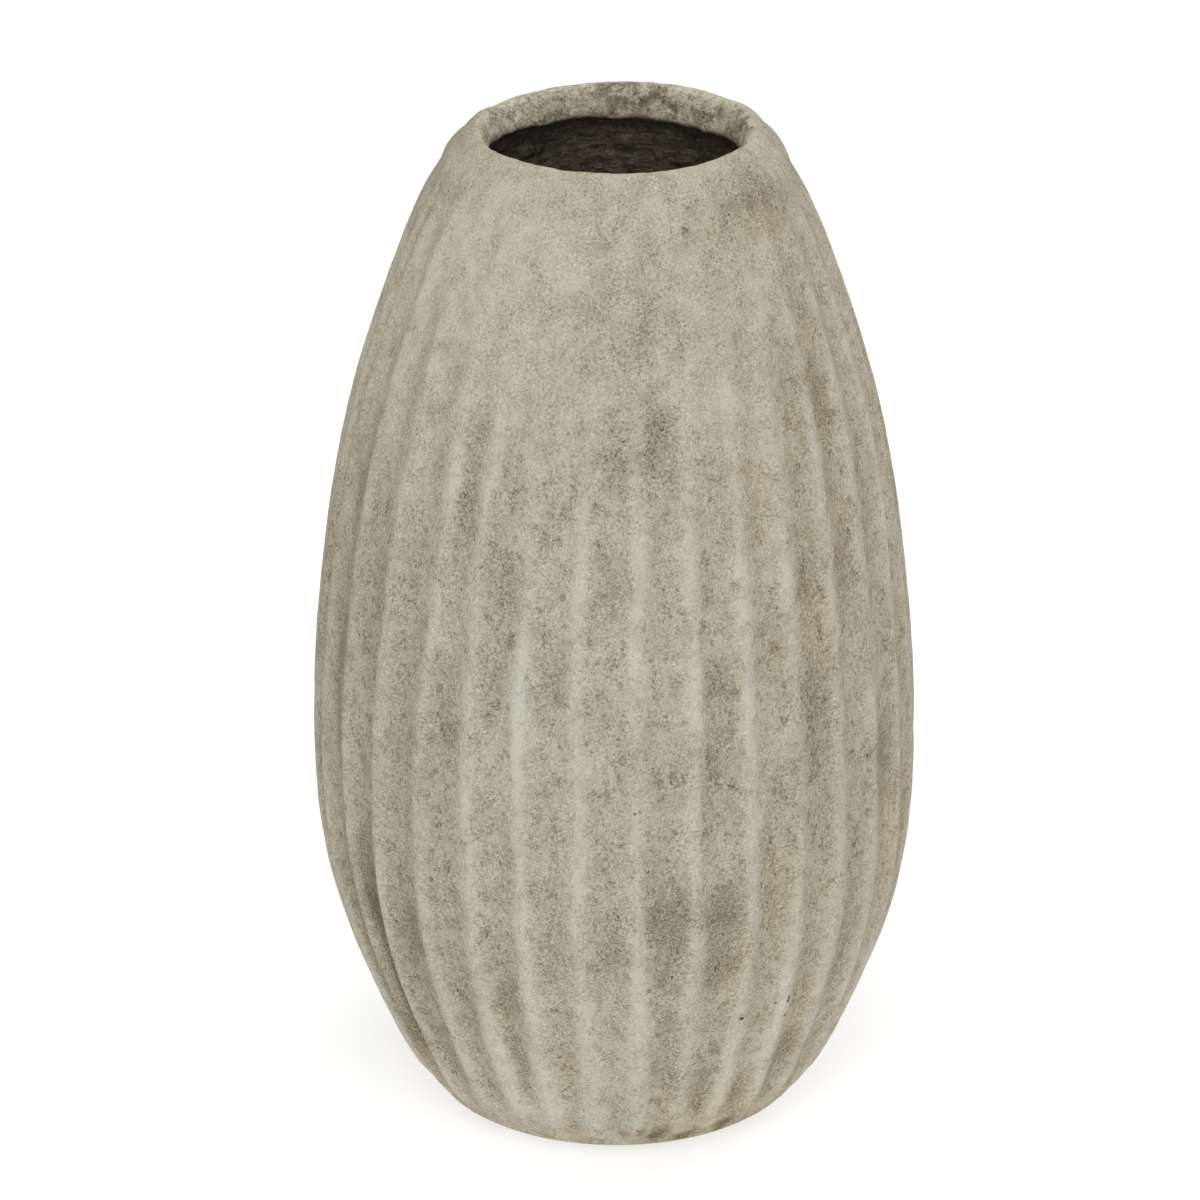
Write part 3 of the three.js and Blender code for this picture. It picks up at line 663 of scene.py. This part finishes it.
# ------------------------------------------------------------------ materials
class Tree:
    """A few short ways to wire a material's nodes."""

    def __init__(self, name):
        self.mat = bpy.data.materials.new(name)
        self.mat.use_nodes = True
        self.nt = self.mat.node_tree
        self.nt.nodes.clear()
        self.out = self.nt.nodes.new("ShaderNodeOutputMaterial")
        self.bsdf = self.nt.nodes.new("ShaderNodeBsdfPrincipled")
        self.nt.links.new(self.bsdf.outputs[0], self.out.inputs[0])
        self.co = self.nt.nodes.new("ShaderNodeTexCoord").outputs["Object"]

    def put(self, socket, value):
        if isinstance(value, bpy.types.NodeSocket):
            self.nt.links.new(value, socket)
        elif value is not None:
            socket.default_value = value

    def mapped(self, scale, loc=(0, 0, 0)):
        n = self.nt.nodes.new("ShaderNodeMapping")
        self.put(n.inputs["Vector"], self.co)
        n.inputs["Scale"].default_value = scale
        n.inputs["Location"].default_value = loc
        return n.outputs[0]

    def noise(self, scale, detail=2.0, rough=0.5, vec=None, distort=0.0):
        n = self.nt.nodes.new("ShaderNodeTexNoise")
        self.put(n.inputs["Vector"], vec or self.co)
        n.inputs["Scale"].default_value = scale
        n.inputs["Detail"].default_value = detail
        n.inputs["Roughness"].default_value = rough
        n.inputs["Distortion"].default_value = distort
        return n.outputs["Fac"]

    def cells(self, scale, feature="F1", out="Distance", vec=None):
        n = self.nt.nodes.new("ShaderNodeTexVoronoi")
        n.feature = feature
        self.put(n.inputs["Vector"], vec or self.co)
        n.inputs["Scale"].default_value = scale
        return n.outputs[out]

    def attr(self, name):
        n = self.nt.nodes.new("ShaderNodeAttribute")
        n.attribute_name = name
        return n.outputs["Fac"]

    def m(self, op, a, b=None, c=None, clamp=False):
        n = self.nt.nodes.new("ShaderNodeMath")
        n.operation = op
        n.use_clamp = clamp
        self.put(n.inputs[0], a)
        if b is not None:
            self.put(n.inputs[1], b)
        if c is not None:
            self.put(n.inputs[2], c)
        return n.outputs[0]

    def add(self, *terms):
        total = terms[0]
        for x in terms[1:]:
            total = self.m("ADD", total, x)
        return total

    def mul(self, a, b, clamp=False):
        return self.m("MULTIPLY", a, b, clamp=clamp)

    def span(self, v, a, b, c=0.0, d=1.0, soft=True):
        n = self.nt.nodes.new("ShaderNodeMapRange")
        n.interpolation_type = "SMOOTHSTEP" if soft else "LINEAR"
        n.clamp = True
        self.put(n.inputs["Value"], v)
        for key, x in (("From Min", a), ("From Max", b), ("To Min", c), ("To Max", d)):
            self.put(n.inputs[key], x)
        return n.outputs[0]

    def mix(self, fac, a, b, how="MIX"):
        n = self.nt.nodes.new("ShaderNodeMix")
        n.data_type = "RGBA"
        n.blend_type = how
        n.clamp_factor = True
        for i, v in ((0, fac), (6, a), (7, b)):
            if isinstance(v, tuple):
                v = (*v, 1.0)
            self.put(n.inputs[i], v)
        return n.outputs[2]

    def scaled(self, colour, factor):
        n = self.nt.nodes.new("ShaderNodeVectorMath")
        n.operation = "SCALE"
        self.put(n.inputs[0], colour)
        self.put(n.inputs["Scale"], factor)
        return n.outputs[0]

    def tinted(self, colour, amount, tint):
        """The colour times (1 - amount x tint), channel by channel."""
        less = self.nt.nodes.new("ShaderNodeVectorMath")
        less.operation = "MULTIPLY_ADD"
        self.put(less.inputs[0], amount)
        less.inputs[1].default_value = tuple(-x for x in tint)
        less.inputs[2].default_value = (1.0, 1.0, 1.0)
        n = self.nt.nodes.new("ShaderNodeVectorMath")
        n.operation = "MULTIPLY"
        self.put(n.inputs[0], colour)
        self.put(n.inputs[1], less.outputs[0])
        return n.outputs[0]

    def bump(self, height, strength, distance, normal=None):
        n = self.nt.nodes.new("ShaderNodeBump")
        n.inputs["Strength"].default_value = strength
        n.inputs["Distance"].default_value = distance
        self.put(n.inputs["Height"], height)
        if normal is not None:
            self.put(n.inputs["Normal"], normal)
        return n.outputs[0]

    def finish(self, color, rough, normal=None, specular=0.25):
        b = self.bsdf
        self.put(b.inputs["Base Color"], color)
        self.put(b.inputs["Roughness"], rough)
        b.inputs["Specular IOR Level"].default_value = specular
        if normal is not None:
            self.put(b.inputs["Normal"], normal)
        return self.mat


def sandy_clay():
    t = Tree("sandy_clay")
    crest, flute, stain_and_shading, brown, pale_and_light, coat_painted_lit = (t.attr(x) for x in ("crest", "flute", "stain_and_shading", "brown", "pale_and_light", "coat_painted_lit"))
    coarse = t.attr("coarse")
    big = t.noise(27.0, 3.0, 0.60, t.mapped((1, 1, 0.55)))
    blot = t.noise(58.0, 3.0, 0.6, t.mapped((1, 1, 0.45), (0.13, 0.57, 0.41)))
    mid = t.noise(150.0, 1.0, 0.6, t.mapped((1, 1, 0.8), (0.31, 0.17, 0.05)))
    tear = t.noise(250.0, 2.0, 0.85, t.mapped((1, 1, 0.8), (0.61, 0.27, 0.15)))
    warm = t.noise(38.0, 4.0, 0.70, t.mapped((1, 1, 0.6), (0.5, 0.9, 0.2)))
    clump = t.noise(300.0, 2.0, 0.70, t.mapped((1, 1, 0.85), (0.23, 0.71, 0.37)))
    pitted = t.noise(560.0, 2.0, 0.75, t.mapped((1, 1, 1.2), (0.83, 0.11, 0.57)))
    patchy = t.noise(190.0, 2.0, 0.6, t.mapped((1, 1, 0.8), (0.07, 0.43, 0.79)))
    g1 = t.noise(430.0, 0.0)
    g2 = t.noise(820.0, 0.0, vec=t.mapped((1, 1, 1), (0.2, 0.6, 0.4)))
    g3 = t.noise(1500.0, 0.0, vec=t.mapped((1, 1, 1), (0.7, 0.3, 0.9)))
    g4 = t.noise(2350.0, 0.0, vec=t.mapped((1, 1, 1), (0.4, 0.8, 0.1)))

    def off(v, k=1.0):
        return t.m("MULTIPLY_ADD", v, k, -0.5 * k)

    # how dirty, with the painted light and shade that the stain and pale masks bring: clumps of dirt in the flutes and
    # the stains, rubbed off on the ridges, both unevenly
    rub = t.mul(crest, t.span(t.add(t.mul(mid, -0.5), tear), -0.02, 0.52, 1.55, 0.35, soft=False))
    hollow = t.mul(t.m("SUBTRACT", 1.0, crest, clamp=True), flute)
    dark = t.mul(t.span(clump, 0.52, 0.66), t.mul(t.m("MULTIPLY_ADD", crest, -0.65, 1.0, clamp=True), t.m("MULTIPLY_ADD", flute, 0.85, 0.15)))
    soil_and_shading = t.add(t.mul(hollow, 0.42), t.mul(stain_and_shading, 0.88), off(tear, 1.55), off(mid, 1.0), off(blot, 1.0), t.m("MULTIPLY_ADD", dark, 0.95, -0.19))
    soil_and_shading = t.span(soil_and_shading, -0.30, 1.40, 0.0, 1.54, soft=False)
    dirt_and_shading = t.add(off(big, 0.45), t.mul(soil_and_shading, 0.50), off(mid, 0.20), t.mul(rub, -0.155), t.mul(pale_and_light, -0.20), t.mul(coarse, off(pitted, 3.6)),
                 t.mul(t.m("SUBTRACT", 1.0, flute, clamp=True), t.add(off(mid, 0.30), off(blot, 0.25), 0.035)))
    dirt_and_shading = t.span(dirt_and_shading, -0.340, 0.940, soft=False)
    col = t.mix(t.span(dirt_and_shading, 0.0, 0.46, soft=False), (0.592, 0.563, 0.465), (0.434, 0.397, 0.304))
    col = t.mix(t.span(dirt_and_shading, 0.46, 1.0, soft=False), col, (0.262, 0.232, 0.166))
    # darkest where the marks are strongest: deep stains, and painted shade in the shaded flutes low on the far left
    col = t.mix(t.mul(t.span(stain_and_shading, 1.50, 2.40, 0.0, 0.78), t.span(tear, 0.36, 0.60, 0.55, 1.0)), col, (0.128, 0.116, 0.084))
    # warmer and cooler patches
    rust = t.m("ADD", t.mul(brown, t.span(tear, 0.30, 0.70, 0.40, 1.10)), t.span(warm, 0.52, 0.80, 0.0, 0.60), clamp=True)
    col = t.mix(rust, col, (1.070, 0.997, 0.935), "MULTIPLY")
    col = t.mix(t.span(warm, 0.50, 0.26, 0.0, 0.8), col, (0.965, 1.003, 1.030), "MULTIPLY")
    col = t.mix(t.mul(t.mul(pale_and_light, t.m("MULTIPLY_ADD", flute, 0.65, 0.35, clamp=True)), t.span(tear, 0.40, 0.62, 0.15, 0.75)), col, (0.975, 1.000, 1.035), "MULTIPLY")
    # sand: lighter and darker grains, stronger where it is dirty, the dark ones a little browner
    grain = t.add(off(g2, 0.26), off(g3, 0.70), off(g4, 0.64))
    grain = t.add(grain, t.mul(t.m("MAXIMUM", t.m("SUBTRACT", grain, 0.10), 0.0), 0.25))
    force = t.add(t.span(dirt_and_shading, 0.06, 0.52, 0.38, 1.12, soft=False), t.span(dirt_and_shading, 0.52, 0.90, 0.0, 0.56, soft=False))
    force = t.mul(force, t.span(patchy, 0.30, 0.70, 0.68, 1.32, soft=False))
    col = t.tinted(col, t.mul(grain, force), (0.96, 1.0, 1.11))
    # painted highlight: a few tiny glints on grains of sand
    painted_glint = t.mul(t.span(t.cells(330.0), 0.22, 0.12), t.span(t.cells(330.0, out="Color"), 0.93, 0.95))
    col = t.mix(t.mul(painted_glint, 0.7), col, (0.80, 0.77, 0.66))
    # pinholes
    for at, size in pins:
        d = t.nt.nodes.new("ShaderNodeVectorMath")
        d.operation = "DISTANCE"
        t.put(d.inputs[0], t.co)
        d.inputs[1].default_value = at
        col = t.mix(t.span(t.add(d.outputs["Value"], t.mul(off(g2), size)), size * 1.2, size * 0.6, 0.0, 1.0), col, (0.055, 0.046, 0.032))
    # the dark coat where it laps onto the clay, in a colour lighter than the coat inside: painted light on the shaded
    # underside of the lip
    col = t.mix(coat_painted_lit, col, (0.380, 0.332, 0.246))
    nrm = t.bump(t.add(t.mul(g2, -1.0), t.mul(g3, -0.8)), 0.5, 0.00035)
    return t.finish(col, t.span(g1, 0.3, 0.7, 0.86, 1.0, soft=False), nrm, 0.18)


def raw_clay():
    t = Tree("raw_clay")
    big = t.noise(40.0, 4.0, 0.6)
    small = t.noise(420.0, 3.0, 0.65)
    grain = t.noise(950.0, 2.0, 0.7)
    col = t.mix(t.span(big, 0.35, 0.7), (0.400, 0.355, 0.262), (0.285, 0.245, 0.172))
    col = t.mix(t.mul(t.span(grain, 0.52, 0.75), 0.55), col, (0.120, 0.100, 0.070))
    col = t.mix(t.mul(t.span(small, 0.58, 0.75), 0.35), col, (0.520, 0.480, 0.390))
    nrm = t.bump(t.add(t.mul(small, 1.0), t.mul(grain, 0.6)), 0.5, 0.0004)
    return t.finish(col, 0.95, nrm, 0.15)


def dark_seal():
    t = Tree("dark_seal")
    streak = t.noise(110.0, 4.0, 0.65, t.mapped((0.55, 0.55, 2.8)))
    blot = t.noise(45.0, 4.0, 0.6)
    grain = t.noise(760.0, 3.0, 0.7)
    wipe = t.noise(480.0, 3.0, 0.65, t.mapped((0.42, 0.42, 1.5), (0.3, 0.1, 0.7)))
    thin = t.add(t.attr("thin"), t.m("MULTIPLY_ADD", streak, 0.3, -0.15), t.m("MULTIPLY_ADD", blot, 0.3, -0.15), t.m("MULTIPLY_ADD", grain, 2.2, -1.10),
                 t.m("MULTIPLY_ADD", wipe, 1.8, -0.90))
    col = t.mix(t.span(thin, 0.0, 1.0, soft=False), (0.111, 0.096, 0.065), (0.312, 0.275, 0.193))
    col = t.mix(t.mul(t.span(grain, 0.60, 0.80), 0.4), col, (0.400, 0.352, 0.262))
    nrm = t.bump(t.add(t.mul(streak, 0.6), t.mul(wipe, 0.8), t.mul(grain, 0.5)), 0.8, 0.0010)
    return t.finish(col, t.span(blot, 0.3, 0.7, 0.70, 0.9), nrm, 0.25)


def grey_felt():
    t = Tree("grey_felt")
    fibre = t.noise(1400.0, 3.0, 0.7, t.mapped((1, 0.35, 1)))
    fibre2 = t.noise(1500.0, 3.0, 0.7, t.mapped((0.35, 1, 1), (0.4, 0.2, 0.1)))
    blot = t.noise(300.0, 3.0, 0.6)
    f = t.add(t.mul(fibre, 0.5), t.mul(fibre2, 0.5))
    col = t.mix(t.span(f, 0.36, 0.66), (0.055, 0.052, 0.046), (0.160, 0.152, 0.136))
    col = t.mix(t.mul(t.span(blot, 0.4, 0.7), 0.4), col, (0.100, 0.096, 0.086))
    nrm = t.bump(f, 0.7, 0.0004)
    mat = t.finish(col, 1.0, nrm, 0.05)
    t.bsdf.inputs["Sheen Weight"].default_value = 0.35
    t.bsdf.inputs["Sheen Roughness"].default_value = 0.6
    return mat


clay, raw, seal, felt = sandy_clay(), raw_clay(), dark_seal(), grey_felt()
for ob, mat in [(wall, clay), (lip, clay), (slab, raw), (roll, raw), (coat, seal)] + [(p, felt) for p in pads]:
    ob.data.materials.clear()
    ob.data.materials.append(mat)


# ------------------------------------------------------------------ floor, light, camera
def floor_material():
    t = Tree("studio_floor")
    t.bsdf.inputs["Base Color"].default_value = (0.50, 0.50, 0.50, 1)
    t.bsdf.inputs["Emission Color"].default_value = (1, 1, 1, 1)
    t.bsdf.inputs["Emission Strength"].default_value = 0.665
    t.bsdf.inputs["Roughness"].default_value = 0.9
    t.bsdf.inputs["Specular IOR Level"].default_value = 0.1
    return t.mat


R = 1.7
me = bpy.data.meshes.new("studio_floor")
ring_pts = [(R * math.cos(2 * math.pi * i / 96), R * math.sin(2 * math.pi * i / 96), 0.0) for i in range(96)]
me.from_pydata(ring_pts, [], [list(range(96))])
me.materials.append(floor_material())
floor = bpy.data.objects.new("studio_floor", me)
bpy.context.scene.collection.objects.link(floor)

# white all round for the camera, and only a little light from it: the softboxes do the rest
world = bpy.data.worlds.new("studio")
world.use_nodes = True
wt = world.node_tree
bg = wt.nodes["Background"]
bg.inputs["Color"].default_value = (1.0, 1.0, 1.0, 1.0)
bg.inputs["Strength"].default_value = 0.06
seen = wt.nodes.new("ShaderNodeBackground")
seen.inputs["Color"].default_value = (1.0, 1.0, 1.0, 1.0)
seen.inputs["Strength"].default_value = 1.0
path_n = wt.nodes.new("ShaderNodeLightPath")
pick = wt.nodes.new("ShaderNodeMixShader")
wt.links.new(path_n.outputs["Is Camera Ray"], pick.inputs[0])
wt.links.new(bg.outputs[0], pick.inputs[1])
wt.links.new(seen.outputs[0], pick.inputs[2])
wt.links.new(pick.outputs[0], wt.nodes["World Output"].inputs["Surface"])
bpy.context.scene.world = world


def softbox(name, at, aim, size, power, colour=(1, 1, 1)):
    d = bpy.data.lights.new(name, "AREA")
    d.shape = "RECTANGLE"
    d.size, d.size_y = size
    d.energy = power
    d.color = colour
    o = bpy.data.objects.new(name, d)
    o.location = at
    v = np.array(aim) - np.array(at)
    from mathutils import Vector
    o.rotation_euler = Vector(v).to_track_quat("-Z", "Y").to_euler()
    bpy.context.scene.collection.objects.link(o)
    return o


def around(name, azimuth, elevation, power, size=1.3, dist=2.4):
    """A softbox at an azimuth from the front, positive towards +X, and an elevation."""
    az, el = math.radians(azimuth), math.radians(elevation)
    at = (dist * math.sin(az) * math.cos(el), -dist * math.cos(az) * math.cos(el), 0.15 + dist * math.sin(el))
    softbox(name, at, (0, 0, 0.15), (size, size), power)


LIGHT = 1.0
around("overhead", 0, 90, 14.6 * LIGHT, 2.0)
around("front_high", 0, 50, 28.8 * LIGHT)
around("front_low", 0, 15, 6.8 * LIGHT)
around("left_high", -70, 50, 3.4 * LIGHT)
around("back_left", -125, 35, 8.0 * LIGHT)
around("back_right", 125, 35, 17.5 * LIGHT)

EL = math.radians(23.5)
DIST = 6000.0 * PX * MM
AIM_Z = (CLAY0 + 519.4 * PX) * MM
cam_data = bpy.data.cameras.new("camera")
cam_data.sensor_width = 36.0
cam_data.sensor_fit = "HORIZONTAL"
cam_data.lens = 180.0
cam_data.clip_start, cam_data.clip_end = 0.05, 60.0
camera = bpy.data.objects.new("camera", cam_data)
camera.location = (-13.8 * PX * MM, -DIST * math.cos(EL), AIM_Z + DIST * math.sin(EL))
camera.rotation_euler = (math.radians(90) - EL, 0, 0)
bpy.context.scene.collection.objects.link(camera)
bpy.context.scene.camera = camera

view = bpy.context.scene.view_settings
view.view_transform = "Standard"
view.look = "None"
view.exposure = 0.0
view.gamma = 1.0
